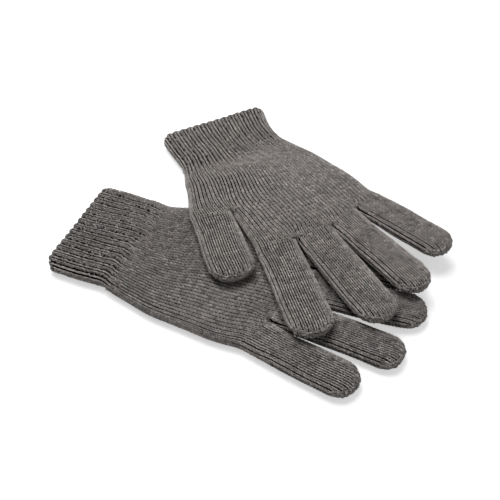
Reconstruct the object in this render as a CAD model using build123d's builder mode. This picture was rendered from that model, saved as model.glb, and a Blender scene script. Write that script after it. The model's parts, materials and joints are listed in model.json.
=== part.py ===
"""A pair of seamless knitted cut-resistant gloves for carving, laid down empty.

The left glove lies flat, palm up, with its cuff towards -X. The right glove lies across it, palm up
too, with its cuff down beside the left one. Each glove is built as it is knitted: five closed finger
stalls, a hand that gathers them, a ribbed cuff with elastic yarn laid into it, and an overedge thread.
The origin is under the middle of the left palm, on the surface that the pair lies on. +Z is up.
Each glove has its own plan: x runs from the wrist, where cuff and hand meet, to the fingertips, and y
across it towards the thumb.
"""

import os
from dataclasses import dataclass
from math import atan2, cos, degrees, radians, sin, tan

from build123d import *

# Fabric, in millimetres as all lengths here, with angles in degrees
fabric = 2.4
flat_thickness = 11
side_flat = 0.7
gap = 0.3

# Cuff
cuff_length = 39
cuff_width = 84
cuff_thickness = 12.4
rib_pitch = 5.8
rib_radius = 2.9
rib_height = 0.9
edge_length = 2.4
edge_step = 0.5
edge_round = 0.6
elastic_rows = 6
elastic_width = 1.2
elastic_depth = 0.7
elastic_clearance = 0.05

# Fingers: flat width, and length from the crotch to the tip; middle and ring fill their crotches
thumb_width = 29.5
thumb_length = 58.5
index_width = 28.7
index_length = 77
middle_length = 81.5
ring_length = 77
little_width = 25.6
little_length = 66

# Hand: crotches as (x, y) in the glove's plan, and where the stalls and their roots begin
thumb_crotch = (75, 38.3)
index_crotch = (119, 13.7)
middle_crotch = (119.5, -13.7)
ring_crotch = (112, -37.4)
crotch_round = 0.4
fold_offset = 10
thumb_root_length = 11
index_root_length = 4
little_root_length = 4

# The pair as it lies
crossing_angle = 41.5
left_wrist_reach = 56
right_wrist = (-65.5, 97.4)
ramp_length = 41
ramp_sections = 4

side_round = (flat_thickness - side_flat) / 2


@dataclass
class Finger:
    """A finger: its crotches by side, 1 towards the thumb and -1 away from it, and its sizes."""

    name: str
    crotches: dict
    width: float
    length: float


@dataclass
class Glove:
    """How one glove lies: its wrist, heading, thumb side, finger angles and the palm's side curves."""

    name: str
    wrist: tuple
    heading: float
    thumb_side: int
    lift: float
    angles: dict
    thumb_edge: list
    little_edge: list
    flare: float


thumb = Finger("thumb", {-1: thumb_crotch}, thumb_width, thumb_length)
index = Finger("index", {-1: index_crotch}, index_width, index_length)
middle = Finger("middle", {1: index_crotch, -1: middle_crotch}, None, middle_length)
ring = Finger("ring", {1: middle_crotch, -1: ring_crotch}, None, ring_length)
little = Finger("little", {1: ring_crotch}, little_width, little_length)
fingers = [thumb, index, middle, ring, little]

left_heading = crossing_angle / 2
left = Glove(
    name="left",
    wrist=(
        -left_wrist_reach * cos(radians(left_heading)),
        -left_wrist_reach * sin(radians(left_heading)),
    ),
    heading=left_heading,
    thumb_side=1,
    lift=0,
    angles={"thumb": 10, "index": 5, "middle": 2, "ring": -6.5, "little": -15},
    thumb_edge=[(gap / 2, cuff_width / 2), (17, 43), (41, 52.5)],
    little_edge=[(gap / 2, -cuff_width / 2), (15, -46.5), (43, -55.5), (78, -59.5)],
    flare=0,
)
right = Glove(
    name="right",
    wrist=right_wrist,
    heading=-crossing_angle / 2,
    thumb_side=-1,
    lift=flat_thickness + gap,
    angles={"thumb": 11, "index": 12, "middle": 1, "ring": -6.5, "little": -16},
    thumb_edge=[(ramp_length, 57.3)],
    little_edge=[(ramp_length, -54.8), (78, -59.5)],
    flare=12,
)


def glove_plane(glove, height):
    """The glove's plan at a height: origin at the wrist, x towards the fingertips, y thumbward."""
    heading = radians(glove.heading)
    return Plane(
        origin=(*glove.wrist, height),
        x_dir=(cos(heading), sin(heading), 0),
        z_dir=(0, 0, glove.thumb_side),
    )


def along(angle):
    """A direction in the plan."""
    return Vector(cos(radians(angle)), sin(radians(angle)))


def finger_width(glove, finger):
    """The finger's own width, or what its two crotches leave it."""
    if finger.width:
        return finger.width
    spread = Vector(*finger.crotches[1]) - Vector(*finger.crotches[-1])
    return spread.dot(along(glove.angles[finger.name] + 90)) - 2 * crotch_round


def finger_point(glove, finger, x, y):
    """A point on a finger, in the glove's plan: x along it from its crotch, y from its middle."""
    angle = glove.angles[finger.name]
    reach = finger_width(glove, finger) / 2 + crotch_round
    middles = [
        Vector(*crotch) - along(angle + 90) * side * reach for side, crotch in finger.crotches.items()
    ]
    root = sum(middles, Vector()) * (1 / len(middles))
    return root + along(angle) * x + along(angle + 90) * y


def finger_plane(glove, finger):
    """Under a finger, with its origin beside its crotch and x along it."""
    plan = glove_plane(glove, glove.lift)
    root = plan.from_local_coords(finger_point(glove, finger, 0, 0))
    return Plane(
        origin=root,
        x_dir=plan.from_local_coords(finger_point(glove, finger, 1, 0)) - root,
        z_dir=plan.z_dir,
    )


def palm_side(glove, points, side, inset):
    """The points of one side of the palm, 1 thumbward and -1 away, drawn in by the fabric."""
    moved = [Vector(x, y - side * inset) for x, y in points]
    if not glove.lift:
        moved[0] -= Vector(inset, 0)
    return moved


def palm_outline(glove, inset):
    """The flat hand with the roots of its fingers; an inset outline runs on past its open ends."""
    end = fold_offset - gap / 2 + inset
    notch = crotch_round + inset
    saddle = finger_point(glove, index, -index_root_length, index_width / 2) - Vector(*thumb_crotch)
    next_angles = [degrees(atan2(saddle.Y, saddle.X))]
    next_angles += [glove.angles[finger.name] for finger in (middle, ring, little)]
    thumb_side = palm_side(glove, glove.thumb_edge, 1, inset)
    thumb_side.append(finger_point(glove, thumb, -thumb_root_length, thumb_width / 2 - inset))
    little_side = palm_side(glove, glove.little_edge, -1, inset)
    little_side.append(finger_point(glove, little, -little_root_length, inset - little_width / 2))
    with BuildLine() as outline:
        Spline(*thumb_side, tangents=[along(glove.flare), along(glove.angles["thumb"])])
        root = thumb_side[-1]
        for finger, next_angle in zip(fingers, next_angles):
            angle = glove.angles[finger.name]
            half = finger_width(glove, finger) / 2 - inset
            crotch = Vector(*finger.crotches[-1])
            notch_in = crotch + along(angle + 90) * notch
            notch_out = crotch - along(next_angle + 90) * notch
            Polyline(
                root,
                finger_point(glove, finger, end, half),
                finger_point(glove, finger, end, -half),
                notch_in,
            )
            ThreePointArc(notch_in, crotch - along((angle + next_angle) / 2) * notch, notch_out)
            root = notch_out
            if finger is thumb:
                root = finger_point(glove, index, -index_root_length, index_width / 2 - inset)
                Spline(notch_out, root, tangents=[along(next_angle), along(glove.angles["index"])])
        Polyline(
            root,
            finger_point(glove, little, end, little_width / 2 - inset),
            finger_point(glove, little, end, inset - little_width / 2),
            little_side[-1],
        )
        Spline(*little_side, tangents=[along(-glove.flare), along(glove.angles["little"])])
        Line(thumb_side[0], little_side[0])
    return outline.line


def palm_slab(glove, inset):
    """The flat of the hand, rounded along its sides; inset shrinks it to the space in the fabric."""
    plan = glove_plane(glove, glove.lift + flat_thickness / 2)
    thumb_start = palm_side(glove, glove.thumb_edge, 1, inset)[0]
    little_start = palm_side(glove, glove.little_edge, -1, inset)[0]
    end = fold_offset - gap / 2 + inset
    open_ends = [(thumb_start + little_start) / 2]
    open_ends += [finger_point(glove, finger, end, 0) for finger in fingers]
    with BuildPart() as slab:
        with BuildSketch(plan):
            add(palm_outline(glove, inset))
            make_face()
        extrude(amount=flat_thickness / 2 - inset, both=True)
        level = slab.edges().filter_by(Axis.Z, reverse=True)
        sides = level.filter_by(
            lambda edge: min(
                (plan.to_local_coords(edge.center()) - point).length for point in open_ends
            )
            > flat_thickness / 2 + gap
        )
        fillet(sides, side_round - inset)
    return slab.part


def wrist_ramp(glove, slab, inset):
    """Where the hand climbs from the table onto the other glove: ovals, lofted into the slab."""
    plan = glove_plane(glove, flat_thickness / 2)
    thumb_top = glove.thumb_edge[0][1] - cuff_width / 2
    little_top = -glove.little_edge[0][1] - cuff_width / 2
    sections = []
    for section_number in range(ramp_sections - 1):
        share = section_number / (ramp_sections - 1)
        rise = share * share * (3 - 2 * share)
        widen = share * (2 - share)
        x = gap / 2 + (ramp_length - gap / 2) * share
        centre = plan.from_local_coords(Vector(x, (thumb_top - little_top) * widen / 2, 0))
        upright = Plane(
            origin=centre + Vector(0, 0, glove.lift * rise), x_dir=plan.y_dir, z_dir=plan.x_dir
        )
        with BuildSketch(upright) as oval:
            RectangleRounded(
                cuff_width + (thumb_top + little_top) * widen - 2 * inset,
                flat_thickness - 2 * inset,
                side_round - inset,
            )
        sections.append(oval.sketch.face())
    sections.append(slab.faces().sort_by(Axis(plan.origin, plan.x_dir))[0])
    with BuildPart() as ramp:
        loft(sections)
        if inset:
            extrude(sections[0], amount=inset, dir=-plan.x_dir)
    return ramp.part


def hand_shape(glove, inset):
    """The hand and the roots of its fingers, up to the lines that they fold on."""
    slab = palm_slab(glove, inset)
    with BuildPart() as shape:
        add(slab)
        if glove.lift:
            add(wrist_ramp(glove, slab, inset))
    return shape.part


def make_hand(glove):
    """The hollow hand, open at the wrist and at the root of each finger."""
    with BuildPart() as hand:
        add(hand_shape(glove, 0))
        add(hand_shape(glove, fabric), mode=Mode.SUBTRACT)
    return hand.part


def stall_shape(glove, finger, start, inset):
    """A finger's flattened tube with its rounded tip; inset shrinks it to the space inside."""
    plane = finger_plane(glove, finger)
    half = finger_width(glove, finger) / 2 - inset
    tip_centre = finger.length - inset - half
    with BuildPart() as shape:
        with BuildSketch(plane.offset(flat_thickness / 2 * glove.thumb_side)):
            with BuildLine():
                Polyline((tip_centre, half), (start, half), (start, -half), (tip_centre, -half))
                ThreePointArc((tip_centre, -half), (tip_centre + half, 0), (tip_centre, half))
            make_face()
        extrude(amount=flat_thickness / 2 - inset, both=True)
        sides = shape.edges().filter_by(Axis(plane.origin, plane.x_dir))
        tip = shape.edges().filter_by(GeomType.CIRCLE)
        fillet(sides + tip, side_round - inset)
    return shape.part


def make_stall(glove, finger):
    """One finger stall: a closed knitted tube, open at the line it folds on."""
    start = fold_offset + gap / 2
    with BuildPart() as stall:
        add(stall_shape(glove, finger, start, 0))
        add(stall_shape(glove, finger, start - fabric, fabric), mode=Mode.SUBTRACT)
    return stall.part


def cuff_plane(glove, x):
    """Across the cuff at x, with its origin in the middle of the cuff's section."""
    flat = glove_plane(glove, cuff_thickness / 2)
    return Plane(origin=flat.from_local_coords(Vector(x, 0, 0)), x_dir=flat.y_dir, z_dir=flat.x_dir)


def make_cuff(glove):
    """The ribbed cuff: a flattened tube with knitted ribs along it, front and back."""
    start = edge_length - cuff_length
    body_height = cuff_thickness - 2 * rib_height
    rib_count = int((cuff_width - cuff_thickness) / rib_pitch) + 1
    with BuildPart() as cuff:
        with BuildSketch(cuff_plane(glove, start)):
            SlotOverall(cuff_width, body_height)
            for face in (-1, 1):
                with Locations((0, face * (cuff_thickness / 2 - rib_radius))):
                    with GridLocations(rib_pitch, 0, rib_count, 1):
                        Circle(rib_radius)
            SlotOverall(cuff_width - 2 * fabric, body_height - 2 * fabric, mode=Mode.SUBTRACT)
        extrude(amount=-gap / 2 - start)
    return cuff.part


def make_cuff_edge(glove):
    """The overedge thread that binds the cuff's open end, against the ends of the ribs."""
    body_height = cuff_thickness - 2 * rib_height
    mouth = cuff_plane(glove, -cuff_length)
    with BuildPart() as edge:
        with BuildSketch(mouth):
            SlotOverall(cuff_width - 2 * edge_step, body_height)
            SlotOverall(cuff_width - 2 * fabric, body_height - 2 * fabric, mode=Mode.SUBTRACT)
        extrude(amount=edge_length)
        end_face = edge.faces().sort_by(Axis(mouth.origin, mouth.z_dir))[0]
        fillet(end_face.outer_wire().edges(), edge_round)
    return edge.part


def make_elastic(glove):
    """Covered elastic yarn laid round the inside of the cuff, one loop to each row."""
    width = cuff_width - 2 * (fabric + elastic_clearance)
    height = cuff_thickness - 2 * (rib_height + fabric + elastic_clearance)
    pitch = (cuff_length - edge_length) / elastic_rows
    with BuildPart() as elastic:
        for row in range(elastic_rows):
            middle = edge_length - cuff_length + (row + 0.5) * pitch
            with BuildSketch(cuff_plane(glove, middle - elastic_width / 2)):
                SlotOverall(width, height)
                SlotOverall(width - 2 * elastic_depth, height - 2 * elastic_depth, mode=Mode.SUBTRACT)
            extrude(amount=elastic_width)
    return elastic.part


def keep(part, label):
    """Labels a finished piece and writes it to its own file."""
    part.label = label
    export_step(part, f"parts/{label}.step")


os.makedirs("parts", exist_ok=True)
for glove in (left, right):
    keep(make_cuff(glove), f"{glove.name}_cuff")
    keep(make_cuff_edge(glove), f"{glove.name}_cuff_edge")
    keep(make_elastic(glove), f"{glove.name}_cuff_elastic")
    keep(make_hand(glove), f"{glove.name}_hand")
    for finger in fingers:
        keep(make_stall(glove, finger), f"{glove.name}_{finger.name}_stall")
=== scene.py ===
"""A pair of seamless knitted cut-resistant gloves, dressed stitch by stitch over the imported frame."""

import json
from math import atan2, cos, hypot, pi, radians, sin

import bpy
import numpy as np
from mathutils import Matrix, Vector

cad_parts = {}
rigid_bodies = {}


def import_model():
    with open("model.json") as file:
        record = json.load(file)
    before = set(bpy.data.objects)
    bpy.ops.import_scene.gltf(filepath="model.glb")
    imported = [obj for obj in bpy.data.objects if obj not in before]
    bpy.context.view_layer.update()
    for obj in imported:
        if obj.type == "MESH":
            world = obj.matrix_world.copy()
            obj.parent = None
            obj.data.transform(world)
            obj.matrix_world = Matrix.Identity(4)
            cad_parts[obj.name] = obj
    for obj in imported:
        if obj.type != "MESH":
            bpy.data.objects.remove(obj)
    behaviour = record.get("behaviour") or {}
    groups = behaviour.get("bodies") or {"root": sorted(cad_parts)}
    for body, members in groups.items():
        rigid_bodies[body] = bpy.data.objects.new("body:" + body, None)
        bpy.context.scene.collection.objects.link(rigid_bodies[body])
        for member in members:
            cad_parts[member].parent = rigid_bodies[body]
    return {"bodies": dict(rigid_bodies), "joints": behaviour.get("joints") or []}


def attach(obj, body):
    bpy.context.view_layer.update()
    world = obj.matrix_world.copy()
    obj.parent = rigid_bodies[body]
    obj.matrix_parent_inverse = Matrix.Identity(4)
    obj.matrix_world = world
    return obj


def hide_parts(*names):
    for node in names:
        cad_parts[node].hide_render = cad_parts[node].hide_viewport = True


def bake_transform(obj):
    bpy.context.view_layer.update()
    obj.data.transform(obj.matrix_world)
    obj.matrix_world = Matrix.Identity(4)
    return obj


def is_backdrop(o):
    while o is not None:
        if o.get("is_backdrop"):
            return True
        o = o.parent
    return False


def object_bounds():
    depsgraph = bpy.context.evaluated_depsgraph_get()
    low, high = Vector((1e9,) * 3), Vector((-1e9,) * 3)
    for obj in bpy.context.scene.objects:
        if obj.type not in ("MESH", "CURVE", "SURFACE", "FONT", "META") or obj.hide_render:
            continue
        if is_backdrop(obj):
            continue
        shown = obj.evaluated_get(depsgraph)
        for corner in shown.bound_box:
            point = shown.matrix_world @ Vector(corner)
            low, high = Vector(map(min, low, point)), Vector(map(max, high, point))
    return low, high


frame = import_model()
cad_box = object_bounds()
mm = 0.001

# ---------------------------------------------------------------------------------------------------
# Yarn. Grey cut-resistant yarn, spun round steel and glass filaments, so it is flecked and slightly
# glossy. Every stitch of the jersey is one loop of it, seen as two slanted legs that form a V.

yarn_colour = (0.620, 0.565, 0.535)
fleck_colour = (0.93, 0.87, 0.83)
# Painted shade: the ground between the stitches is nearly black, for the shade that falls between the loops
painted_shade_colour = (0.022, 0.020, 0.019)
yarn_roughness = 0.62
yarn_turns = 5
ply_count = 3
fleck_scale = 1150
wear_scale = 38
wear_tones = (0.82, 1.18)
# Painted shade and light: the yarn's colour goes from the first share in the grooves between its plies to the
# second on their tops
groove_shade_tones = (0.72, 1.06)
twist_depth = 0.3
leg_rings = 4
leg_sides = 5
leg_depth = 1.25
leg_reach = 0.86
leg_bow = 0.26
leg_crest = 0.02
leg_arch = 0.7
leg_blunt = 0.12
leg_taper = 0.45
# Where a leg starts, how far it leans in and its radius, in wale widths: the first five lines go from a
# relaxed wale to a stretched one, and the last is for the wale on top of a rib
leg_spreads = (
    (0.192, 0.084, 0.165),
    (0.215, 0.088, 0.168),
    (0.238, 0.092, 0.171),
    (0.262, 0.096, 0.166),
    (0.300, 0.100, 0.160),
    (0.340, 0.050, 0.140),
)
relaxed_wale = 2.3
stretched_wale = 3.4
fold_crowding = 0.45


def flecked_colour(nodes, links, colour, fleck):
    """The yarn's colour with its flecks, made lighter and darker by wear and by each stitch's own tone."""
    place = nodes.new("ShaderNodeTexCoord")
    flecks = nodes.new("ShaderNodeTexNoise")
    flecks.inputs["Scale"].default_value = fleck_scale
    flecks.inputs["Detail"].default_value = 2
    links.new(place.outputs["Object"], flecks.inputs["Vector"])
    fleck_ramp = nodes.new("ShaderNodeValToRGB")
    fleck_ramp.color_ramp.elements[0].position = 0.36
    fleck_ramp.color_ramp.elements[0].color = (*[0.62 * channel for channel in colour], 1)
    fleck_ramp.color_ramp.elements[1].position = 0.68
    fleck_ramp.color_ramp.elements[1].color = (*fleck, 1)
    middle = fleck_ramp.color_ramp.elements.new(0.52)
    middle.color = (*colour, 1)
    links.new(flecks.outputs["Fac"], fleck_ramp.inputs["Fac"])
    wear = nodes.new("ShaderNodeTexNoise")
    wear.inputs["Scale"].default_value = wear_scale
    wear.inputs["Detail"].default_value = 3
    links.new(place.outputs["Object"], wear.inputs["Vector"])
    wear_range = nodes.new("ShaderNodeMapRange")
    wear_range.inputs["To Min"].default_value = wear_tones[0]
    wear_range.inputs["To Max"].default_value = wear_tones[1]
    links.new(wear.outputs["Fac"], wear_range.inputs["Value"])
    tone = nodes.new("ShaderNodeAttribute")
    tone.attribute_name = "tone"
    tone_by_wear = nodes.new("ShaderNodeMath")
    tone_by_wear.operation = "MULTIPLY"
    links.new(tone.outputs["Fac"], tone_by_wear.inputs[0])
    links.new(wear_range.outputs["Result"], tone_by_wear.inputs[1])
    toned = nodes.new("ShaderNodeVectorMath")
    toned.operation = "SCALE"
    links.new(fleck_ramp.outputs["Color"], toned.inputs[0])
    links.new(tone_by_wear.outputs["Value"], toned.inputs["Scale"])
    return toned.outputs["Vector"]


def twisted_plies(nodes, links, ply_turns):
    """A wave over the thread's own UV map, along it and round it: up on each ply and down between them."""
    thread = nodes.new("ShaderNodeUVMap")
    thread.uv_map = "UVMap"
    split = nodes.new("ShaderNodeSeparateXYZ")
    links.new(thread.outputs["UV"], split.inputs["Vector"])
    turns = nodes.new("ShaderNodeMath")
    turns.operation = "MULTIPLY"
    turns.inputs[1].default_value = ply_turns * 2 * pi
    links.new(split.outputs["X"], turns.inputs[0])
    round_thread = nodes.new("ShaderNodeMath")
    round_thread.operation = "MULTIPLY_ADD"
    round_thread.inputs[1].default_value = ply_count * 2 * pi
    links.new(split.outputs["Y"], round_thread.inputs[0])
    links.new(turns.outputs["Value"], round_thread.inputs[2])
    plies = nodes.new("ShaderNodeMath")
    plies.operation = "SINE"
    links.new(round_thread.outputs["Value"], plies.inputs[0])
    return plies.outputs["Value"]


def yarn_material(name, colour, fleck, roughness, ply_turns):
    """A spun yarn: flecked, with painted shade in the grooves between its twisted plies and painted light on
    their tops, and a little fuzzy.
    """
    material = bpy.data.materials.new(name)
    material.use_nodes = True
    nodes, links = material.node_tree.nodes, material.node_tree.links
    shader = nodes["Principled BSDF"]
    shader.inputs["Roughness"].default_value = roughness
    shader.inputs["Sheen Weight"].default_value = 0.25
    shader.inputs["Sheen Roughness"].default_value = 0.45
    shader.inputs["Specular IOR Level"].default_value = 0.35
    toned = flecked_colour(nodes, links, colour, fleck)
    plies = twisted_plies(nodes, links, ply_turns)
    groove = nodes.new("ShaderNodeMapRange")
    groove.inputs["From Min"].default_value = -1
    groove.inputs["To Min"].default_value = groove_shade_tones[0]
    groove.inputs["To Max"].default_value = groove_shade_tones[1]
    links.new(plies, groove.inputs["Value"])
    shaded = nodes.new("ShaderNodeVectorMath")
    shaded.operation = "SCALE"
    links.new(toned, shaded.inputs[0])
    links.new(groove.outputs["Result"], shaded.inputs["Scale"])
    links.new(shaded.outputs["Vector"], shader.inputs["Base Color"])
    twist = nodes.new("ShaderNodeBump")
    twist.inputs["Strength"].default_value = 0.9
    twist.inputs["Distance"].default_value = twist_depth * mm
    links.new(plies, twist.inputs["Height"])
    links.new(twist.outputs["Normal"], shader.inputs["Normal"])
    return material


def ground_material(name, colour):
    """What shows between the stitches: the backs of the loops, with painted shade, nearly black for the shade
    that falls between the stitches.
    """
    material = bpy.data.materials.new(name)
    material.use_nodes = True
    nodes, links = material.node_tree.nodes, material.node_tree.links
    shader = nodes["Principled BSDF"]
    shader.inputs["Roughness"].default_value = 0.95
    shader.inputs["Specular IOR Level"].default_value = 0.15
    place = nodes.new("ShaderNodeTexCoord")
    loops = nodes.new("ShaderNodeTexVoronoi")
    loops.inputs["Scale"].default_value = 420
    links.new(place.outputs["Object"], loops.inputs["Vector"])
    # Painted shade: the ground darkens further, to under half its colour, in a pattern of cells
    mix = nodes.new("ShaderNodeMix")
    mix.data_type = "RGBA"
    mix.inputs["A"].default_value = (*colour, 1)
    mix.inputs["B"].default_value = (*[0.45 * channel for channel in colour], 1)
    links.new(loops.outputs["Distance"], mix.inputs["Factor"])
    links.new(mix.outputs["Result"], shader.inputs["Base Color"])
    dents = nodes.new("ShaderNodeBump")
    dents.inputs["Strength"].default_value = 0.8
    dents.inputs["Distance"].default_value = 0.0008
    dents.invert = True
    links.new(loops.outputs["Distance"], dents.inputs["Height"])
    links.new(dents.outputs["Normal"], shader.inputs["Normal"])
    return material


def thread_mesh(centres, sideways, upright, radii, sides):
    """A short thread with pointed, closed ends round a line of centres, with its UVs along and round."""
    rings = len(centres) - 2
    points = [centres[0]]
    for ring in range(1, rings + 1):
        for side in range(sides):
            turn = 2 * pi * side / sides
            across = radii[ring] * cos(turn) * np.array(sideways)
            up = radii[ring] * sin(turn) * np.array(upright)
            points.append(np.array(centres[ring]) + across + up)
    points.append(centres[-1])
    faces, uvs = [], []
    last = len(points) - 1
    for side in range(sides):
        after = (side + 1) % sides
        v0, v1 = side / sides, (side + 1) / sides
        faces.append((0, 1 + after, 1 + side))
        uvs += [(0, v0), (1 / (rings + 1), v1), (1 / (rings + 1), v0)]
        for ring in range(rings - 1):
            a, b = 1 + ring * sides, 1 + (ring + 1) * sides
            u0, u1 = (ring + 1) / (rings + 1), (ring + 2) / (rings + 1)
            faces.append((a + side, a + after, b + after, b + side))
            uvs += [(u0, v0), (u0, v1), (u1, v1), (u1, v0)]
        end = 1 + (rings - 1) * sides
        faces.append((end + side, end + after, last))
        uvs += [(rings / (rings + 1), v0), (rings / (rings + 1), v1), (1, v0)]
    return points, faces, uvs


def stitch_object(name, leg_start, leg_lean, leg_radius):
    """One knit stitch in a cell one unit wide and one long; the V opens towards the cuff, at -Y."""
    points, faces, uvs = [], [], []
    for side in (-1, 1):
        centres, radii = [], []
        for step in np.linspace(0, 1, leg_rings + 2):
            lean = step * step * (3 - 2 * step)
            across = side * (leg_start - leg_lean * lean)
            along = -leg_reach + 2 * leg_reach * step
            up = -leg_bow + (leg_bow + leg_crest) * sin(pi * step) ** leg_arch
            centres.append((across, along, up))
            radii.append(leg_radius * sin(pi * min(max(step, leg_blunt), 1 - leg_blunt)) ** leg_taper)
        leg_points, leg_faces, leg_uvs = thread_mesh(centres, (1, 0, 0), (0, 0, leg_depth), radii, leg_sides)
        faces += [tuple(len(points) + corner for corner in face) for face in leg_faces]
        points += leg_points
        uvs += leg_uvs
    mesh = bpy.data.meshes.new(name)
    mesh.from_pydata([tuple(point) for point in points], [], faces)
    layer = mesh.uv_layers.new(name="UVMap")
    layer.data.foreach_set("uv", np.array(uvs, np.float32).ravel())
    mesh.shade_smooth()
    return bpy.data.objects.new(name, mesh)


stitches = bpy.data.collections.new("stitches")
for number, spread in enumerate(leg_spreads):
    stitches.objects.link(stitch_object(f"stitch_{number}", *spread))
knit_yarn = yarn_material("knit_yarn", yarn_colour, fleck_colour, yarn_roughness, yarn_turns)
knit_ground = ground_material("knit_ground", painted_shade_colour)
ground_depth = 1.3
ground_wall = 0.9
stitch_wobble = 0.07


def stitches_on_cells(node, link, start):
    """The first half of the Knit tree: one stitch on each cell, as its attributes say, and dyed."""

    def named(attribute, kind):
        read = node("GeometryNodeInputNamedAttribute")
        read.data_type = kind
        read.inputs["Name"].default_value = attribute
        return read.outputs["Attribute"]

    points = node("GeometryNodeMeshToPoints")
    points.mode = "FACES"
    link(start.outputs["Geometry"], points.inputs["Mesh"])
    link(named("seat", "FLOAT_VECTOR"), points.inputs["Position"])
    patterns = node("GeometryNodeCollectionInfo")
    patterns.inputs["Separate Children"].default_value = True
    patterns.inputs["Reset Children"].default_value = True
    link(start.outputs["Stitches"], patterns.inputs["Collection"])
    turn = node("FunctionNodeAxesToRotation")
    turn.primary_axis = "Z"
    turn.secondary_axis = "Y"
    link(named("facing", "FLOAT_VECTOR"), turn.inputs["Primary Axis"])
    link(named("along", "FLOAT_VECTOR"), turn.inputs["Secondary Axis"])
    wobble = node("FunctionNodeRandomValue")
    wobble.data_type = "FLOAT_VECTOR"
    low = node("ShaderNodeMath")
    low.operation = "MULTIPLY"
    low.inputs[1].default_value = -1
    link(start.outputs["Wobble"], low.inputs[0])
    link(low.outputs["Value"], wobble.inputs["Min"])
    link(start.outputs["Wobble"], wobble.inputs["Max"])
    link(start.outputs["Seed"], wobble.inputs["Seed"])
    sway = node("FunctionNodeEulerToRotation")
    link(wobble.outputs["Value"], sway.inputs["Euler"])
    rotate = node("FunctionNodeRotateRotation")
    rotate.rotation_space = "LOCAL"
    link(turn.outputs["Rotation"], rotate.inputs["Rotation"])
    link(sway.outputs["Rotation"], rotate.inputs["Rotate By"])
    place = node("GeometryNodeInstanceOnPoints")
    link(points.outputs["Points"], place.inputs["Points"])
    link(patterns.outputs["Instances"], place.inputs["Instance"])
    place.inputs["Pick Instance"].default_value = True
    link(named("spread", "INT"), place.inputs["Instance Index"])
    link(rotate.outputs["Rotation"], place.inputs["Rotation"])
    link(named("size", "FLOAT_VECTOR"), place.inputs["Scale"])
    realize = node("GeometryNodeRealizeInstances")
    link(place.outputs["Instances"], realize.inputs["Geometry"])
    dye = node("GeometryNodeSetMaterial")
    link(realize.outputs["Geometry"], dye.inputs["Geometry"])
    link(start.outputs["Yarn"], dye.inputs["Material"])
    return dye.outputs["Geometry"]


def sunk_cells(node, link, start, depth, inner):
    """One skin of the ground: the cells sunk to a depth, and turned inwards if it is the inner one."""
    normal = node("GeometryNodeInputNormal")
    inwards = node("ShaderNodeMath")
    inwards.operation = "MULTIPLY"
    inwards.inputs[1].default_value = -1
    link(depth, inwards.inputs[0])
    shift = node("ShaderNodeVectorMath")
    shift.operation = "SCALE"
    link(normal.outputs["Normal"], shift.inputs[0])
    link(inwards.outputs["Value"], shift.inputs["Scale"])
    sink = node("GeometryNodeSetPosition")
    link(start.outputs["Geometry"], sink.inputs["Geometry"])
    link(shift.outputs["Vector"], sink.inputs["Offset"])
    skin = sink.outputs["Geometry"]
    if inner:
        flip = node("GeometryNodeFlipFaces")
        link(skin, flip.inputs["Mesh"])
        skin = flip.outputs["Mesh"]
    cover = node("GeometryNodeSetMaterial")
    link(skin, cover.inputs["Geometry"])
    link(start.outputs["Ground"], cover.inputs["Material"])
    return cover.outputs["Geometry"]


def knit_tree():
    """Sets one stitch on every cell of a knitted surface, and sinks the cells below as its ground."""
    tree = bpy.data.node_groups.new("Knit", "GeometryNodeTree")
    tree.is_modifier = True
    sockets = tree.interface
    sockets.new_socket("Geometry", in_out="INPUT", socket_type="NodeSocketGeometry")
    sockets.new_socket("Geometry", in_out="OUTPUT", socket_type="NodeSocketGeometry")
    sockets.new_socket("Stitches", in_out="INPUT", socket_type="NodeSocketCollection")
    sizes = {"Ground Depth": ground_depth * mm, "Wall": ground_wall * mm, "Wobble": stitch_wobble}
    for name, value in sizes.items():
        sockets.new_socket(name, in_out="INPUT", socket_type="NodeSocketFloat").default_value = value
    sockets.new_socket("Seed", in_out="INPUT", socket_type="NodeSocketInt").default_value = 7
    sockets.new_socket("Yarn", in_out="INPUT", socket_type="NodeSocketMaterial")
    sockets.new_socket("Ground", in_out="INPUT", socket_type="NodeSocketMaterial")
    node, link = tree.nodes.new, tree.links.new
    start, end = node("NodeGroupInput"), node("NodeGroupOutput")
    dyed = stitches_on_cells(node, link, start)
    full_depth = node("ShaderNodeMath")
    link(start.outputs["Ground Depth"], full_depth.inputs[0])
    link(start.outputs["Wall"], full_depth.inputs[1])
    join = node("GeometryNodeJoinGeometry")
    link(sunk_cells(node, link, start, start.outputs["Ground Depth"], False), join.inputs["Geometry"])
    link(sunk_cells(node, link, start, full_depth.outputs["Value"], True), join.inputs["Geometry"])
    link(dyed, join.inputs["Geometry"])
    link(join.outputs["Geometry"], end.inputs["Geometry"])
    return tree


knitting = knit_tree()
stitch_height = 2.7
plumpest_stitch = 1.25
seat_depth = 0.17
smallest_cell = 1e-6
tone_spread = 0.19
tone_limits = (0.5, 1.6)
cell_attributes = {
    "seat": "FLOAT_VECTOR",
    "facing": "FLOAT_VECTOR",
    "along": "FLOAT_VECTOR",
    "size": "FLOAT_VECTOR",
    "tone": "FLOAT",
    "spread": "INT",
}


def panel(corners, tone=1.0, sink=0.0, rough=0.0, open_up=0.0):
    """Corner points by row and column, and for each stitch how light its yarn is, how deep it sinks, how
    far it tilts and how wide open it lies, which is past 1 on top of a rib."""
    corners = np.array(corners, float)
    cells = (corners.shape[0] - 1, corners.shape[1] - 1)
    spread_out = [np.broadcast_to(value, cells).ravel() for value in (tone, sink, rough, open_up)]
    return corners, *spread_out


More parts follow.
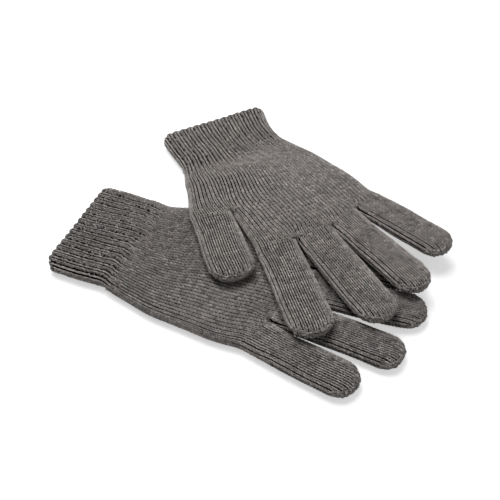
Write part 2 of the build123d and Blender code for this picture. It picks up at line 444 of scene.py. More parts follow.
def stitch_cells(fabric, chance):
    """What the Knit tree reads from each cell of a panel: its stitch's place, turn, size, tone and spread."""
    corners, tone, sink, rough, open_up = fabric
    rows, columns = corners.shape[0] - 1, corners.shape[1] - 1
    a, b = corners[:-1, :-1].reshape(-1, 3), corners[:-1, 1:].reshape(-1, 3)
    d, c = corners[1:, :-1].reshape(-1, 3), corners[1:, 1:].reshape(-1, 3)
    across, along = (b + c - a - d) / 2, (c + d - a - b) / 2
    facing = np.cross(across, along)
    area = np.linalg.norm(facing, axis=1)
    length = np.linalg.norm(along, axis=1).clip(1e-9)
    facing = facing / np.maximum(area, 1e-9)[:, None]
    width = area / length
    crowded = 1 + fold_crowding * (1 - np.abs(facing[:, 2]))
    height = np.minimum(stitch_height, plumpest_stitch * width)
    depth = seat_depth * height + sink
    tilt = chance.normal(0, 1, (2, len(a), 3)) * rough[None, :, None]
    shade = chance.normal(1, tone_spread, len(a)).clip(*tone_limits)
    stretch = np.clip((width - relaxed_wale) / (stretched_wale - relaxed_wale) + open_up, 0, 1)
    stretch = np.where(open_up > 1, open_up, stretch)
    spread = np.floor(stretch * (len(leg_spreads) - 2) + chance.random(len(a)))
    first = (np.arange(rows)[:, None] * (columns + 1) + np.arange(columns)).ravel()
    cells = {
        "seat": ((a + b + c + d) / 4 - facing * depth[:, None]) * mm,
        "facing": facing + tilt[0],
        "along": along / length[:, None] + tilt[1],
        "size": np.stack([width * crowded, length, height], 1) * mm,
        "tone": tone * shade,
        "spread": np.clip(spread, 0, len(leg_spreads) - 1),
        "corners": np.stack([first, first + 1, first + columns + 2, first + columns + 1], 1),
    }
    return {label: values[area > smallest_cell] for label, values in cells.items()}


def cell_mesh(name, panels, chance):
    """The panels as one mesh, whose faces carry what the Knit tree reads."""
    points = [corners.reshape(-1, 3) * mm for corners, *_ in panels]
    cells = [stitch_cells(fabric, chance) for fabric in panels]
    starts = np.cumsum([0, *map(len, points)])
    faces = [start + part["corners"] for start, part in zip(starts, cells)]
    mesh = bpy.data.meshes.new(name)
    mesh.from_pydata(np.concatenate(points).tolist(), [], np.concatenate(faces).tolist())
    for label, kind in cell_attributes.items():
        values = np.concatenate([part[label] for part in cells])
        values = values.astype(np.int32 if kind == "INT" else np.float32)
        attribute = mesh.attributes.new(label, kind, "FACE")
        attribute.data.foreach_set("vector" if kind == "FLOAT_VECTOR" else "value", values.ravel())
    mesh.shade_smooth()
    return mesh


def knit(name, panels, seed, yarn=knit_yarn, ground=(ground_depth, ground_wall)):
    """Knits a piece from panels, whose cells face outwards: rows towards the fingertip, then columns."""
    blank = bpy.data.objects.new(name + "_cells", cell_mesh(name, panels, np.random.default_rng(seed)))
    bpy.context.scene.collection.objects.link(blank)
    modifier = blank.modifiers.new("Knit", "NODES")
    modifier.node_group = knitting
    values = {
        "Stitches": stitches,
        "Yarn": yarn,
        "Ground": knit_ground,
        "Ground Depth": ground[0] * mm,
        "Wall": ground[1] * mm,
        "Wobble": stitch_wobble,
        "Seed": seed,
    }
    for item in knitting.interface.items_tree:
        if item.in_out == "INPUT" and item.name in values:
            modifier[item.identifier] = values[item.name]
    bpy.context.view_layer.update()
    knitted = bpy.data.meshes.new_from_object(blank.evaluated_get(bpy.context.evaluated_depsgraph_get()))
    bpy.data.objects.remove(blank)
    for label in cell_attributes:
        if label != "tone" and label in knitted.attributes:
            knitted.attributes.remove(knitted.attributes[label])
    piece = bpy.data.objects.new(name, knitted)
    bpy.context.scene.collection.objects.link(piece)
    return piece


# ---------------------------------------------------------------------------------------------------
# Finger stalls. Each finger is knitted first, as a closed tube that starts at its gathered tip. Empty,
# it lies flattened, with full rounded sides.

course = 2.7
thickness = 11.0
cuff_thickness = 12.4
thickening_length = 20.0
side_reach = 7.0
side_power = 2.1
crotch_gap = 0.3
crotch_reach = 3.2
reach_growth = 20.0
tip_power = 2.3
profile_steps = 241
wale_steps = 400
lines_per_wale = 4
fold_start = 3.0
fold_growth = 14.0
fold_sink = -0.1
stall_opening = 0.45
gathered_rows = 2.5
gathered_sink = 0.8
gathered_rough = 0.22
rim_pitch = 2.5
rim_insets = (1.0, 0.0, -1.0)
rim_turn = 1.35
rim_steps = 200
rim_tone = 0.96
rim_sinks = (0.1, 0.7)
rim_rough = 0.25

# How the right glove lies across the left one, and hangs down beside it
crossing_angle = 41.5
right_lift = 11.3
ramp_length = 41.0
drape_start = 14.0
drape_width = 66.0
drape_onset = 4.0
drape_length = 104.0

# How the knitting wanders, swells and wrinkles: the spans are the lengths over which each wave goes
# through one radian, along the glove and across it
wander = 0.35
wander_spans = (17, 21)
small_wander = 0.6
small_wander_spans = (7.9, 27)
swell_height = 0.28
swell_spans = (9.1, 11.7)
small_swell = 0.6
small_swell_spans = (5.3, 8.9)
swell_room = 0.25
swell_share = 0.9
wrinkle_depth = 1.1
wrinkle_length = 12.5
wrinkle_slant = 16
wrinkle_sway = 1.5
wrinkle_sway_span = 13
wrinkle_onset = 9
wrinkle_end = 38
wrinkle_fade = 18
wrinkle_least = 0.6
wrinkle_patch_spans = (31, 19)

crotches = {"thumb": (75, 38.3), "index": (119, 13.7), "middle": (119.5, -13.7), "ring": (112, -37.4)}
# Each finger's crotch, and the side of it where the finger lies, 1 thumbward and -1 away; its widths at the
# root, halfway and where the tip rounds off; its length from the crotch; the wales on each of its faces;
# and its sides that part from a neighbour at its root
fingers = {
    "thumb": {
        "crotch": "thumb",
        "side": 1,
        "widths": (28.4, 29.5, 30.5),
        "length": 58.5,
        "wales": 10,
        "next_to": (-1,),
    },
    "index": {
        "crotch": "index",
        "side": 1,
        "widths": (28.2, 29.0, 29.1),
        "length": 77,
        "wales": 10,
        "next_to": (-1,),
    },
    "middle": {
        "crotch": "middle",
        "side": 1,
        "widths": (26.6, 28.0, 27.4),
        "length": 81.5,
        "wales": 10,
        "next_to": (-1, 1),
    },
    "ring": {
        "crotch": "ring",
        "side": 1,
        "widths": (24.0, 25.5, 26.0),
        "length": 77,
        "wales": 9,
        "next_to": (-1, 1),
    },
    "little": {
        "crotch": "ring",
        "side": -1,
        "widths": (24.7, 25.6, 26.2),
        "length": 66,
        "wales": 9,
        "next_to": (1,),
    },
}
# The cuff folds at the wrist, so the frame's joint there says where each glove's wrist lies
wrists = {
    joint["parent"]: [distance / mm for distance in joint["pos_m"][:2]]
    for joint in frame["joints"]
    if joint["name"].endswith("cuff_fold")
}
# Each glove's wrist, heading and side of the thumb, its fingers' angles and how much longer some are, the
# two sides of its palm from the cuff on as x and y, how light it is, and how far past the wrist its ribs
# and how deep its wrinkles go
gloves = {
    "left": {
        "wrist": wrists["left_glove"],
        "heading": crossing_angle / 2,
        "thumb_side": 1,
        "lift": 0.0,
        "angles": {"thumb": 10, "index": 5, "middle": 2, "ring": -6.5, "little": -12.8},
        "longer": {"ring": 4.0},
        "thumb_edge": [(-42, 42), (-20, 41.2), (0, 40), (17, 40.8), (41, 50.5)],
        "little_edge": [
            (-42, -43.5),
            (-20, -44),
            (0, -44),
            (4, -45.6),
            (11, -47.8),
            (24, -51.2),
            (43, -56),
            (78, -60.3),
        ],
        "tone": 0.97,
        "rib_fade": 19.0,
        "wrinkle": 1.0,
    },
    "right": {
        "wrist": wrists["right_glove"],
        "heading": -crossing_angle / 2,
        "thumb_side": -1,
        "lift": right_lift,
        "angles": {"thumb": 11, "index": 12, "middle": 1, "ring": -6.5, "little": -17},
        "longer": {"ring": 1.2},
        "thumb_edge": [(-42, 42), (-20, 42.4), (0, 42.8), (14, 47), (26, 52.4), (41, 57.3)],
        "little_edge": [
            (-42, -48),
            (-30, -45.2),
            (-16, -42.4),
            (0, -41.4),
            (11, -44.2),
            (24, -48.2),
            (41, -52.6),
            (78, -58.3),
        ],
        "tone": 1.0,
        "rib_fade": 38.0,
        "wrinkle": 0.35,
    },
}


def direction(angle):
    """The unit vector at an angle from the glove's heading."""
    return np.array([cos(radians(angle)), sin(radians(angle))])


def smoothstep(share):
    """A share from 0 to 1 that starts and ends gently."""
    share = np.clip(share, 0, 1)
    return share * share * (3 - 2 * share)


def distance_along(*coordinates):
    """How far along a line each of its points lies."""
    steps = np.sqrt(sum(np.diff(values) ** 2 for values in coordinates))
    return np.concatenate([[0], np.cumsum(steps)])


def fullness(x):
    """How thick the flattened glove is, next to its fingers: the ribbed cuff is thicker."""
    return 1 + (cuff_thickness / thickness - 1) * (1 - smoothstep(x / thickening_length))


def middle_height(glove, x, y):
    """The height of the mid plane: the right glove climbs onto the left one past its wrist, and hangs
    down beside it to the little finger's side."""
    steep = smoothstep(x / ramp_length)
    slow = np.clip((x - drape_onset) / drape_length, 0, 1)
    beside = smoothstep((drape_start - y) / drape_width)
    return fullness(x) * thickness / 2 + glove["lift"] * (steep + (slow - steep) * beside)


def side_profile(distance, reach=side_reach):
    """Half the fabric tube's thickness at a distance inside its outline."""
    inside = np.clip(1 - np.asarray(distance, float) / reach, 0, 1)
    return thickness / 2 * (1 - inside**side_power) ** (1 / side_power)


def unevenness(glove, x, y, phase):
    """The gentle swells of a glove that was laid down by hand, and the wrinkles across its wrist."""
    swells = np.sin(x / swell_spans[0] + phase) * np.sin(y / swell_spans[1] + 2 * phase)
    swells = swells + small_swell * np.sin(x / small_swell_spans[0] - y / small_swell_spans[1] + phase)
    sway = wrinkle_sway * np.sin(y / wrinkle_sway_span)
    creases = 0.5 + 0.5 * np.sin(x / wrinkle_length * 2 * pi + sway + y / wrinkle_slant)
    patches = np.sin(y / wrinkle_patch_spans[1] + x / wrinkle_patch_spans[0])
    where = smoothstep(x / wrinkle_onset) * (1 - smoothstep((x - wrinkle_end) / wrinkle_fade))
    where = where * (wrinkle_least + (1 - wrinkle_least) * patches)
    return swell_height * swells - wrinkle_depth * glove["wrinkle"] * creases * where


def to_world(glove, plan, height):
    """Points of a glove's plan, x to the fingertips and y thumbward, as points in the shared frame.

    The wales of a glove that was laid down by hand wander a little, so the plan sways sideways.
    """
    heading = radians(glove["heading"])
    side = glove["thumb_side"]
    x, y = plan[..., 0], plan[..., 1]
    sway = np.sin(x / wander_spans[0] + side) * np.cos(y / wander_spans[1])
    small_sway = np.sin(x / small_wander_spans[0] + y / small_wander_spans[1] + 2 * side)
    y = y + wander * (sway + small_wander * small_sway)
    world_x = glove["wrist"][0] + x * cos(heading) - side * y * sin(heading)
    world_y = glove["wrist"][1] + x * sin(heading) + side * y * cos(heading)
    return np.stack([world_x, world_y, height], -1)


def root_point(glove, name):
    """The middle of a finger's root, level with its crotch."""
    finger = fingers[name]
    crotch = np.array(crotches[finger["crotch"]], float)
    across = direction(glove["angles"][name] + 90)
    return crotch + finger["side"] * across * (finger["widths"][0] / 2 + crotch_gap)


def tube_faces(glove, plan, half, middle):
    """The two faces of a flattened tube, each as corners that face outwards, from its plan."""
    palm = to_world(glove, plan, middle + half)
    back = to_world(glove, plan, middle - half)
    if glove["thumb_side"] > 0:
        return palm[:, ::-1], back
    return palm, back[:, ::-1]


def finger_shape(glove, name):
    """A finger's root, directions along and across, half width at any x, and where its tip rounds off."""
    finger = fingers[name]
    length = finger["length"] + glove["longer"].get(name, 0)
    straight = length - finger["widths"][2] / 2

    def half_width(x):
        return np.interp(x / straight, (0, 0.5, 1), finger["widths"]) / 2

    axes = direction(glove["angles"][name]), direction(glove["angles"][name] + 90)
    return root_point(glove, name), axes, half_width, straight


def finger_grid(glove, name):
    """Plan corners and half thickness of a finger's rows, with columns from its little-finger side.

    Every wale runs straight on to the rounded rim of the tip, so the rows curve more and more. Past the
    root the columns draw in by half a wale at each side, which leaves one wale to run round each fold.
    """
    root, (axis, across), half_width, straight = finger_shape(glove, name)
    wales = fingers[name]["wales"]
    tip_radius = half_width(straight)
    offsets = np.linspace(-tip_radius, tip_radius, profile_steps)
    arc = distance_along(offsets, side_profile(tip_radius - np.abs(offsets)))
    lines = np.linspace(0, 1, lines_per_wale * wales + 1)
    shares = np.interp(lines * arc[-1], arc, offsets) / tip_radius
    paths = []
    for share in shares:
        x = np.linspace(0, straight + tip_radius * (1 - share**2) ** (1 / tip_power), wale_steps)
        past = np.clip((x - straight) / tip_radius, 0, 1)
        inside = half_width(x) * (1 - np.minimum(np.sqrt(past**tip_power + share**2), 1))
        reach = side_reach
        if np.sign(share) in fingers[name]["next_to"]:
            reach = crotch_reach + (side_reach - crotch_reach) * smoothstep(x / reach_growth)
        height = side_profile(inside, reach)
        paths.append((x, height, distance_along(x, height)))
    longest = max(travel[-1] for _, _, travel in paths)
    steps = np.linspace(0, 1, int(round(longest / course)) + 1)
    plan, half = [], []
    for share, (x, height, travel) in zip(shares, paths):
        stops = steps * (longest + (travel[-1] - longest) * steps)
        places = np.interp(stops, travel, x)
        plan.append(root + axis * places[:, None] + across * (share * half_width(places))[:, None])
        half.append(np.interp(stops, travel, height))
    drawn_in = smoothstep((steps * longest - fold_start) / fold_growth)
    columns = (np.arange(wales + 1) + 0.5 * drawn_in[:, None]) / (wales + drawn_in[:, None])
    x, y, half = [
        np.array([np.interp(row, lines, value) for row, value in zip(columns, values)])
        for values in (np.array(plan)[..., 0].T, np.array(plan)[..., 1].T, np.array(half).T)
    ]
    return np.stack([x, y], -1), half, drawn_in


def tip_rim(glove, name):
    """Plan corners and half thickness of the chain that closes a fingertip, from palm side to back."""
    root, (axis, across), half_width, straight = finger_shape(glove, name)
    tip_radius = half_width(straight)
    turn = np.linspace(-rim_turn, rim_turn, rim_steps)
    rim = np.stack([straight + tip_radius * np.cos(turn) ** (2 / tip_power), tip_radius * np.sin(turn)], -1)
    travel = distance_along(*rim.T)
    count = int(round(travel[-1] / rim_pitch))
    stops = np.linspace(0, travel[-1], count + 1)
    rim = np.stack([np.interp(stops, travel, rim[:, 0]), np.interp(stops, travel, rim[:, 1])], -1)
    ahead = np.gradient(rim, axis=0)
    outwards = np.stack([ahead[:, 1], -ahead[:, 0]], -1) / np.linalg.norm(ahead, axis=1, keepdims=True)
    plan, half = [], []
    for inset in rim_insets:
        line = rim - outwards * abs(inset)
        plan.append(root + axis * line[:, :1] + across * line[:, 1:])
        half.append(np.full(count + 1, float(side_profile(abs(inset))) * np.sign(inset)))
    return np.array(plan).transpose(1, 0, 2), np.array(half).T


def laid(glove, plan, half, phase):
    """The corners of the two faces of a flattened piece of a glove, palm first.

    The faces are held in a little, so that the swells have room to rise.
    """
    middle = middle_height(glove, plan[..., 0], plan[..., 1])
    full = half / (thickness / 2)
    swells = unevenness(glove, plan[..., 0], plan[..., 1], phase) * full
    height = half - swell_room * full + np.minimum(swells, swell_room) * swell_share
    return tube_faces(glove, plan, height * fullness(plan[..., 0]), middle)


for glove_name, glove in gloves.items():
    for number, name in enumerate(fingers):
        plan, half, drawn_in = finger_grid(glove, name)
        opening = stall_opening * drawn_in[1:, None]
        rows_to_tip = len(plan) - 2 - np.arange(len(plan) - 1)[:, None]
        gathered = np.clip(1 - rows_to_tip / gathered_rows, 0, 1)
        rough = gathered_rough * gathered
        chance = np.random.default_rng(number)
        panels = []
        faces = laid(glove, plan, half, number + 3 * glove["thumb_side"])
        for face, other in (faces, faces[::-1]):
            sink = gathered * chance.uniform(0, gathered_sink, (len(plan) - 1, plan.shape[1] - 1))
            panels.append(panel(face, glove["tone"], sink, rough, opening))
            fold = np.stack([face[:, -1], other[:, 0]], 1)
            panels.append(panel(fold, glove["tone"], fold_sink, rough, opening))
        rim_plan, rim_half = tip_rim(glove, name)
        middle = middle_height(glove, rim_plan[..., 0], rim_plan[..., 1])
        chain = to_world(glove, rim_plan, middle + rim_half)
        if glove["thumb_side"] < 0:
            chain = chain[:, ::-1]
        sink = chance.uniform(*rim_sinks, len(chain) - 1)[:, None]
        panels.append(panel(chain, rim_tone * glove["tone"], sink, rim_rough))
        stall = knit(f"{glove_name}_{name}_knit", panels, seed=11 + number)
        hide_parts(f"{glove_name}_{name}_stall")
        body = f"{glove_name}_{name}"
        if body in frame["bodies"]:
            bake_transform(stall)
        else:
            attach(stall, f"{glove_name}_glove")

# ---------------------------------------------------------------------------------------------------
# Hands. Four fingers are gathered into one tube, the thumb joins it lower down, and the hand narrows
# to the wrist, where one of every three wales stands up as a rib and the other two sink beside it.

# How many wales lie before each place where the fingers part, counted from the little finger's side
finger_marks = np.cumsum([0, *(fingers[name]["wales"] for name in ("little", "ring", "middle", "index"))])
upper_wales = finger_marks[-1]
hand_wales = upper_wales + fingers["thumb"]["wales"]
rib_wales = 3
rib_valley = 1.0
rib_sink = 0.45
# Painted light: the cuff's yarn is made lighter by up to this factor, fading out with its ribs past the wrist
cuff_painted_light = 1.13
rib_rough = 0.3
hand_rough = 0.05
hand_opening = 0.12
rib_opening = 1.6
rib_fall = 1.3
# Which way each corner of a rib moves, to widen its middle wale
rib_pull = np.array([0, -1, 1])
rib_widening = 0.27
widening_fade = 1.4
crotch_stretch = 0.6
gather_share = 0.5
gather_power = 1.6
row_steps = 721
lower_rows = 28
upper_rows = 16
crotch_row = crotches["thumb"][0]
# How far before its root a finger's outer side leaves the line of the palm's side
root_leads = {"thumb": 9, "index": 5, "little": 8}


def through(points, steps=24):
    """A smooth line through points, as many small steps."""
    points = [2 * np.array(points[0], float) - points[1], *map(np.array, points)]
    points.append(2 * np.array(points[-1], float) - points[-2])
    line = []
    for before, start, end, after in zip(points, points[1:], points[2:], points[3:]):
        for step in np.linspace(0, 1, steps, endpoint=False):
            line.append(
                0.5 * (2 * start + (end - before) * step)
                + 0.5 * (2 * before - 5 * start + 4 * end - after) * step**2
                + 0.5 * (3 * start - before - 3 * end + after) * step**3
            )
    line.append(points[-2])
    return np.array(line, float)


def root_side(glove, name, side):
    """The last two points of a side of the hand, which lead it to a finger's root."""
    axis = direction(glove["angles"][name])
    across = direction(glove["angles"][name] + 90)
    return [
        root_point(glove, name) + axis * x + across * side * fingers[name]["widths"][0] / 2
        for x in (-root_leads[name], 0)
    ]


def hand_sides(glove):
    """The hand's side lines: thumb side to the thumb's root, above its crotch, and little side."""
    outer_thumb = [*glove["thumb_edge"], *root_side(glove, "thumb", 1)]
    start = np.array(crotches["thumb"], float) + (0, crotch_gap)
    lead, end = root_side(glove, "index", 1)
    saddle = [start, start + (lead - start) * 0.5, lead, end]
    outer_little = [*glove["little_edge"], *root_side(glove, "little", -1)]
    return through(outer_thumb), through(saddle), through(outer_little)


def across_at(side_line, x):
    """How far across the glove a side line lies at x."""
    return np.interp(x, side_line[:, 0], side_line[:, 1])


def hand_row(sides, share, upper):
    """One row of the hand's plan from the little-finger side, as many small steps.

    It gives the steps as shares of the row, their x and y, their distance inside the two sides, and the
    shares and wale numbers at which the row meets the crotches once it reaches them.
    """
    outer_thumb, saddle, outer_little = sides
    if upper:
        tops = [outer_little[-1], crotches["ring"], crotches["middle"], crotches["index"], saddle[-1]]
        marks, thumb_side, first_x = finger_marks, saddle, float(crotch_row)
    else:
        tops = [(crotch_row, across_at(outer_little, crotch_row)), crotches["thumb"], outer_thumb[-1]]
        marks, thumb_side, first_x = np.array([0, upper_wales, hand_wales]), outer_thumb, 0.0
    tops = np.array([tuple(top) for top in tops], float)
    low, high = across_at(outer_little, tops[:, 0]), across_at(thumb_side, tops[:, 0])
    across_top = (tops[:, 1] - low) / (high - low)
    across_top[0], across_top[-1] = 0, 1
    across_first = across_top if upper else marks / marks[-1]
    met_at = across_first + (across_top - across_first) * share
    steps = np.union1d(np.linspace(0, 1, row_steps), met_at)
    x = np.interp(steps, met_at, first_x + (tops[:, 0] - first_x) * share)
    low, high = across_at(outer_little, x), across_at(thumb_side, x)
    y = low + (high - low) * steps
    lean_low, lean_high = [
        np.cos(np.arctan(np.interp(x, line[:, 0], np.gradient(line[:, 1], line[:, 0]))))
        for line in (outer_little, thumb_side)
    ]
    inside = np.minimum((y - low) * lean_low, (high - y) * lean_high)
    return steps, x, y, inside, across_top, marks


def hand_half(x, y, inside):
    """Half the hand's thickness: it rounds off at its sides, and dips towards each crotch."""
    half = side_profile(inside)
    for crotch in crotches.values():
        away = np.hypot(crotch_stretch * (x - crotch[0]), y - crotch[1])
        half = np.minimum(half, side_profile(away, crotch_reach))
    return half


def column_shares(row, dipped, met):
    """Where the columns cross a row: evenly along its arc, or evenly between the crotches once met."""
    steps, x, y, inside, across_top, marks = row
    arc = distance_along(x, y, hand_half(x, y, inside) if dipped else side_profile(inside))
    mark_arcs = np.interp(across_top, steps, arc) if met else arc[-1] * marks / marks[-1]
    return np.interp(np.interp(np.arange(marks[-1] + 1), marks, mark_arcs), arc, steps)


def hand_grid(glove, upper, row_count):
    """Plan corners and half thickness of the lower or upper part of a hand."""
    sides = hand_sides(glove)
    first, last = hand_row(sides, 0, upper), hand_row(sides, 1, upper)
    plain_first, plain_last = column_shares(first, False, False), column_shares(last, False, True)
    dip_first = column_shares(first, upper, False) - plain_first
    dip_last = column_shares(last, True, True) - plain_last
    plan, half = [], []
    for share in np.linspace(0, 1, row_count + 1):
        steps, x, y, inside, _, marks = hand_row(sides, share, upper)
        shares = plain_first + (plain_last - plain_first) * share
        shares += dip_first * np.clip(1 - share / gather_share, 0, 1) ** gather_power
        shares += dip_last * np.clip(1 - (1 - share) / gather_share, 0, 1) ** gather_power
        columns = np.arange(marks[-1] + 1.0)
        if not upper:
            pulled = rib_widening * max(1 - share * crotch_row / (widening_fade * glove["rib_fade"]), 0)
            columns += pulled * rib_pull[np.arange(len(columns)) % rib_wales]
        spots = np.interp(columns, np.arange(len(shares)), shares)
        plan.append(np.stack([np.interp(spots, steps, x), np.interp(spots, steps, y)], -1))
        half.append(np.interp(spots, steps, hand_half(x, y, inside)))
    return np.array(plan), np.array(half)


def ribbed(glove, corners, x):
    """A panel with its ribs raised: the middle one of every three wales, with its legs well apart.

    The cuff is drawn into full ribs, and they fade out past the wrist; its yarn has painted light, which
    fades with them.
    """
    across = np.gradient(corners, axis=1)
    along = np.gradient(corners, axis=0)
    normal = np.cross(across, along)
    normal /= np.linalg.norm(normal, axis=-1, keepdims=True)
    place_in_rib = np.arange(corners.shape[1]) % rib_wales
    valley = np.where(place_in_rib == 0, rib_valley, 0.0)
    valley[[0, -1]] = 0
    drawn = (1 - smoothstep(x / glove["rib_fade"])) ** rib_fall
    corners = corners - normal * (drawn[:, None] * valley)[..., None]
    drawn = (drawn[:-1, None] + drawn[1:, None]) / 2
    rib = drawn * (place_in_rib[:-1] == 1)
    low = drawn - rib
    # Painted light: the yarn is lighter as far as the ribs are drawn
    tone = glove["tone"] * (1 + (cuff_painted_light - 1) * drawn)
    rough = hand_rough + rib_rough * low
    return panel(corners, tone, rib_sink * low, rough, hand_opening + rib_opening * rib)


for glove_name, glove in gloves.items():
    lower_plan, lower_half = hand_grid(glove, False, lower_rows)
    upper_plan, upper_half = hand_grid(glove, True, upper_rows)
    lower = laid(glove, lower_plan, lower_half, 1)
    upper = laid(glove, upper_plan, upper_half, 1)
    x = np.linspace(0, crotch_row, lower_rows + 1)
    for side, name in enumerate(("palm", "back")):
        plain = panel(upper[side], glove["tone"], rough=hand_rough, open_up=hand_opening)
        panels = [ribbed(glove, lower[side], x), plain]
        piece = knit(f"{glove_name}_{name}_knit", panels, seed=31 + side)
        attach(piece, f"{glove_name}_glove")
        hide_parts(f"{glove_name}_hand")

# ---------------------------------------------------------------------------------------------------
# Crotch stitches. Where two stalls part, a few loops are picked up across the crotch and pulled tight,
# so that no hole opens there. They sit as a short row of knots on the palm and on the back.

knot_length = 2.3
knot_width = 2.3
knot_setback = 1.8
knot_rises = (0.5, -0.4)
knot_sinks = np.array([0.1, 0.5, 0.0, 0.4])
knot_rough = 0.2
knot_count = len(knot_sinks)

for glove_name, glove in gloves.items():
    panels = []
    for name, after in zip(crotches, list(fingers)[1:]):
        crotch = np.array(crotches[name])
        angle = (glove["angles"][name] + glove["angles"][after]) / 2
        ahead, across = direction(angle), direction(angle + 90)
        reach = np.linspace(-0.5, 0.5, knot_count + 1) * knot_count * knot_length
        plan = np.array([
            [crotch - ahead * (knot_setback + knot_width * side) + across * y for side in (0.5, -0.5)]
            for y in reach
        ])
        away = np.hypot(crotch_stretch * (plan[..., 0] - crotch[0]), plan[..., 1] - crotch[1])
        middle = middle_height(glove, plan[..., 0], plan[..., 1])
        for side, rise in enumerate(knot_rises):
            face = tube_faces(glove, plan, side_profile(away, crotch_reach) + rise, middle)[side]
            panels.append(panel(face[:, ::-1], glove["tone"], knot_sinks[:, None], knot_rough))
    knots = knit(f"{glove_name}_crotch_stitches", panels, seed=41)
    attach(knots, f"{glove_name}_glove")

# ---------------------------------------------------------------------------------------------------
# Cuffs. The elastic laid into it pulls the cuff together into ribs: one wale stands up on each of them,
# and the wales beside it sink. The last rows roll over the open end.

cuff_length = 41.8
cuff_rows = 15
corner_width = 8.0
corner_depth = 4.5
edge_length = 3.0
edge_valley = 2.0
edge_roll = 1.9
edge_rows = 5
edge_return = 3.0
edge_wales = 4
scallop_power = 0.7
edge_tone = 0.85
edge_rough = 0.15
edge_ground = (0.9, 0.4)
edge_colour = [0.95 * channel for channel in yarn_colour]

edge_yarn = yarn_material("edge_yarn", edge_colour, fleck_colour, yarn_roughness, yarn_turns)


def cuff_plan(glove, x, y):
    """Plan points of the cuff: y of the wrist's row follows the cuff's sides, and its corners are rounded."""
    outer_thumb, _, outer_little = hand_sides(glove)
    low, high = across_at(outer_little, x), across_at(outer_thumb, x)
    share = (y - y[0]) / (y[-1] - y[0])
    follow = low[:, None] + (high - low)[:, None] * share[None]
    to_side = np.minimum(follow - low[:, None], high[:, None] - follow)
    corner = corner_depth * (1 - np.sqrt(1 - np.clip(1 - to_side / corner_width, 0, 1) ** 2))
    outwards = np.clip(-x / cuff_length, 0, 1)[:, None] ** 2
    return np.stack([x[:, None] + corner * outwards, follow], -1)


def cuff_grid(glove):
    """The cuff's two faces, as corners of its rows."""
    plan, half = hand_grid(glove, False, lower_rows)
    rows = np.linspace(edge_length - cuff_length, 0, cuff_rows + 1)
    cuff_half = np.repeat(half[:1], cuff_rows + 1, axis=0)
    return rows, laid(glove, cuff_plan(glove, rows, plan[0, :, 1]), cuff_half, 5)


def edge_panel(cuff, tone):
    """The cuff's end rolled inwards over its edge, further out on each ridge than between them."""
    end, before, *_ = cuff[0]
    outwards = (end - before) / np.linalg.norm(end - before, axis=-1, keepdims=True)
    normal = np.cross(np.gradient(end, axis=0), -outwards)
    normal /= np.linalg.norm(normal, axis=-1, keepdims=True)
    columns = np.arange(0, hand_wales + 0.01, rib_wales / edge_wales)
    end, outwards, normal = [
        np.stack([np.interp(columns, np.arange(hand_wales + 1), part) for part in line.T], -1)
        for line in (end, outwards, normal)
    ]
    bump = np.abs(np.sin(pi * columns / rib_wales)) ** scallop_power
    reach = (edge_valley + (edge_length - edge_valley) * bump)[:, None]
    rows = [end - normal * 2 * edge_roll - outwards * edge_return]
    for turn in np.linspace(pi, 0, edge_rows):
        rows.append(end + outwards * reach * sin(turn) - normal * edge_roll * (1 - cos(turn)))
    return panel(rows, edge_tone * tone, rough=edge_rough)


for glove_name, glove in gloves.items():
    rows, faces = cuff_grid(glove)
    panels = [ribbed(glove, face, rows) for face in faces]
    cuff = knit(f"{glove_name}_cuff_knit", panels, seed=51)
    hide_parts(f"{glove_name}_cuff")
    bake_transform(cuff)
    rolls = [edge_panel(face, glove["tone"]) for face in panels]
    edge_name = f"{glove_name}_cuff_edge_knit"
    edge = knit(edge_name, rolls, seed=61, yarn=edge_yarn, ground=edge_ground)
    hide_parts(f"{glove_name}_cuff_edge")
    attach(edge, f"{glove_name}_cuff")

# ---------------------------------------------------------------------------------------------------
# Elastic. A covered elastic yarn is laid round the inside of the cuff, one loop to each row of it.

elastic_loops = 6
elastic_radius = 0.5
elastic_inset = 3.1
elastic_colour = (0.16, 0.155, 0.15)
elastic_fleck = (0.28, 0.27, 0.26)
elastic_roughness = 0.55
elastic_turns = 40

elastic_yarn = yarn_material("elastic_yarn", elastic_colour, elastic_fleck, elastic_roughness, elastic_turns)

for glove_name, glove in gloves.items():
    plan, half = hand_grid(glove, False, lower_rows)
    curve = bpy.data.curves.new(f"{glove_name}_elastic_line", "CURVE")
    curve.dimensions = "3D"
    curve.bevel_depth = elastic_radius * mm
    curve.bevel_resolution = 2
    curve.resolution_u = 2
    inner_half = np.maximum(half[0] * cuff_thickness / thickness - elastic_inset, 0)
    spacing = (cuff_length - edge_length) / elastic_loops
    loop_x = edge_length - cuff_length + (np.arange(elastic_loops) + 0.5) * spacing
    for loop_plan in cuff_plan(glove, loop_x, plan[0, :, 1]):
        centre_y = (loop_plan[0, 1] + loop_plan[-1, 1]) / 2
        half_y = (loop_plan[-1, 1] - loop_plan[0, 1]) / 2
        loop_plan[:, 1] = centre_y + (loop_plan[:, 1] - centre_y) * (1 - elastic_inset / half_y)
        upper_side = to_world(glove, loop_plan, cuff_thickness / 2 + inner_half)
        lower_side = to_world(glove, loop_plan, cuff_thickness / 2 - inner_half)
        points = np.concatenate([upper_side, lower_side[-2:0:-1]]) * mm
        spline = curve.splines.new("POLY")
        spline.points.add(len(points) - 1)
        spline.points.foreach_set("co", np.c_[points, np.ones(len(points))].ravel())
        spline.use_cyclic_u = True
        spline.use_smooth = True
    line = bpy.data.objects.new(f"{glove_name}_elastic_line", curve)
    bpy.context.scene.collection.objects.link(line)
    bpy.context.view_layer.update()
    loops = bpy.data.meshes.new_from_object(line.evaluated_get(bpy.context.evaluated_depsgraph_get()))
    bpy.data.objects.remove(line)
    loops.materials.clear()
    loops.materials.append(elastic_yarn)
    elastic = bpy.data.objects.new(f"{glove_name}_elastic_yarn", loops)
    bpy.context.scene.collection.objects.link(elastic)
    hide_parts(f"{glove_name}_cuff_elastic")
    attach(elastic, f"{glove_name}_cuff")

# ---------------------------------------------------------------------------------------------------
# Floor, light and camera: a plain white sweep under soft studio light from overhead, a little behind.

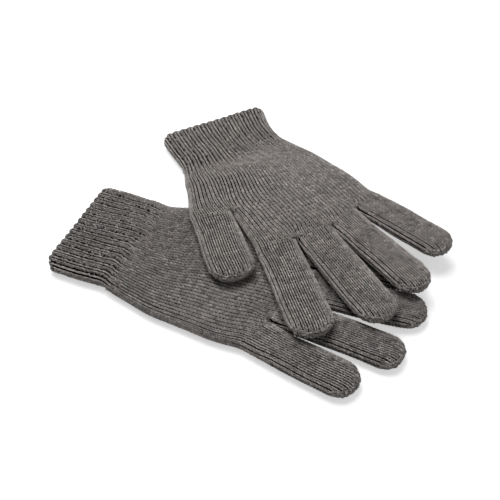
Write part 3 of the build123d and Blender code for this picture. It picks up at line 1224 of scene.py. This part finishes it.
floor_reach = 20
floor_corners = [(floor_reach * x, floor_reach * y, 0) for x, y in ((-1, -1), (1, -1), (1, 1), (-1, 1))]
lamp_target = np.array([0.01, 0.03, 0.01])

floor_mesh = bpy.data.meshes.new("floor")
floor_mesh.from_pydata(floor_corners, [], [(0, 1, 2, 3)])
floor = bpy.data.objects.new("floor", floor_mesh)
bpy.context.scene.collection.objects.link(floor)
floor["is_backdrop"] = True
paper = bpy.data.materials.new("paper")
paper.use_nodes = True
nodes, links = paper.node_tree.nodes, paper.node_tree.links
nodes["Principled BSDF"].inputs["Base Color"].default_value = (0.8, 0.8, 0.8, 1)
nodes["Principled BSDF"].inputs["Roughness"].default_value = 0.8
nodes["Principled BSDF"].inputs["Specular IOR Level"].default_value = 0.0
# Painted light: for the camera the floor also glows, about half as strongly near the gloves as further out,
# so its shadow fades away from them
lift = nodes.new("ShaderNodeEmission")
seen = nodes.new("ShaderNodeLightPath")
place = nodes.new("ShaderNodeTexCoord")
distance = nodes.new("ShaderNodeVectorMath")
distance.operation = "LENGTH"
links.new(place.outputs["Object"], distance.inputs[0])
whiter = nodes.new("ShaderNodeMapRange")
whiter.inputs["From Min"].default_value = 0.25
whiter.inputs["From Max"].default_value = 0.9
whiter.inputs["To Min"].default_value = 0.55
whiter.inputs["To Max"].default_value = 1.0
links.new(distance.outputs["Value"], whiter.inputs["Value"])
share = nodes.new("ShaderNodeMath")
share.operation = "MULTIPLY"
both = nodes.new("ShaderNodeAddShader")
links.new(seen.outputs["Is Camera Ray"], share.inputs[0])
links.new(whiter.outputs["Result"], share.inputs[1])
links.new(share.outputs["Value"], lift.inputs["Strength"])
links.new(nodes["Principled BSDF"].outputs["BSDF"], both.inputs[0])
links.new(lift.outputs["Emission"], both.inputs[1])
links.new(both.outputs["Shader"], nodes["Material Output"].inputs["Surface"])
floor_mesh.materials.append(paper)

world = bpy.data.worlds.new("studio")
bpy.context.scene.world = world
world.use_nodes = True
nodes, links = world.node_tree.nodes, world.node_tree.links
background = nodes["Background"]
background.inputs["Color"].default_value = (1, 1, 1, 1)
seen = nodes.new("ShaderNodeLightPath")
strength = nodes.new("ShaderNodeMapRange")
strength.inputs["To Min"].default_value = 0.12
strength.inputs["To Max"].default_value = 1.0
links.new(seen.outputs["Is Camera Ray"], strength.inputs["Value"])
links.new(strength.outputs["Result"], background.inputs["Strength"])

# Each lamp's name, place and size in metres, and power in watts
for name, place, size, power in (
    ("key", (-0.34, 0.16, 0.95), 0.7, 9.6),
    ("fill", (0.7, 0.1, 0.9), 1.0, 0.75),
):
    lamp = bpy.data.lights.new(name, "AREA")
    lamp.size = size
    lamp.energy = power
    holder = bpy.data.objects.new(name, lamp)
    holder.location = place
    aim = lamp_target - np.array(place)
    holder.rotation_euler = (atan2(hypot(aim[0], aim[1]), -aim[2]), 0, atan2(aim[1], aim[0]) - pi / 2)
    bpy.context.scene.collection.objects.link(holder)

camera_elevation = radians(44.39)
camera_azimuth = radians(40.9)
camera_distance = 0.499
camera_target = np.array([0.0104, 0.0299, 0.0])
back = np.array(
    [
        sin(camera_azimuth) * cos(camera_elevation),
        -cos(camera_azimuth) * cos(camera_elevation),
        sin(camera_elevation),
    ]
)
camera = bpy.data.cameras.new("camera")
camera.lens = 52.8
camera.sensor_width = 36
camera_object = bpy.data.objects.new("camera", camera)
camera_object.location = camera_target + back * camera_distance
camera_object.rotation_euler = (pi / 2 - camera_elevation, 0, camera_azimuth)
bpy.context.scene.collection.objects.link(camera_object)
bpy.context.scene.camera = camera_object
bpy.context.scene.view_settings.view_transform = "Standard"

boxes = {"cad": cad_box, "visual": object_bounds()}
plain = {key: [[float(value) for value in corner] for corner in box] for key, box in boxes.items()}
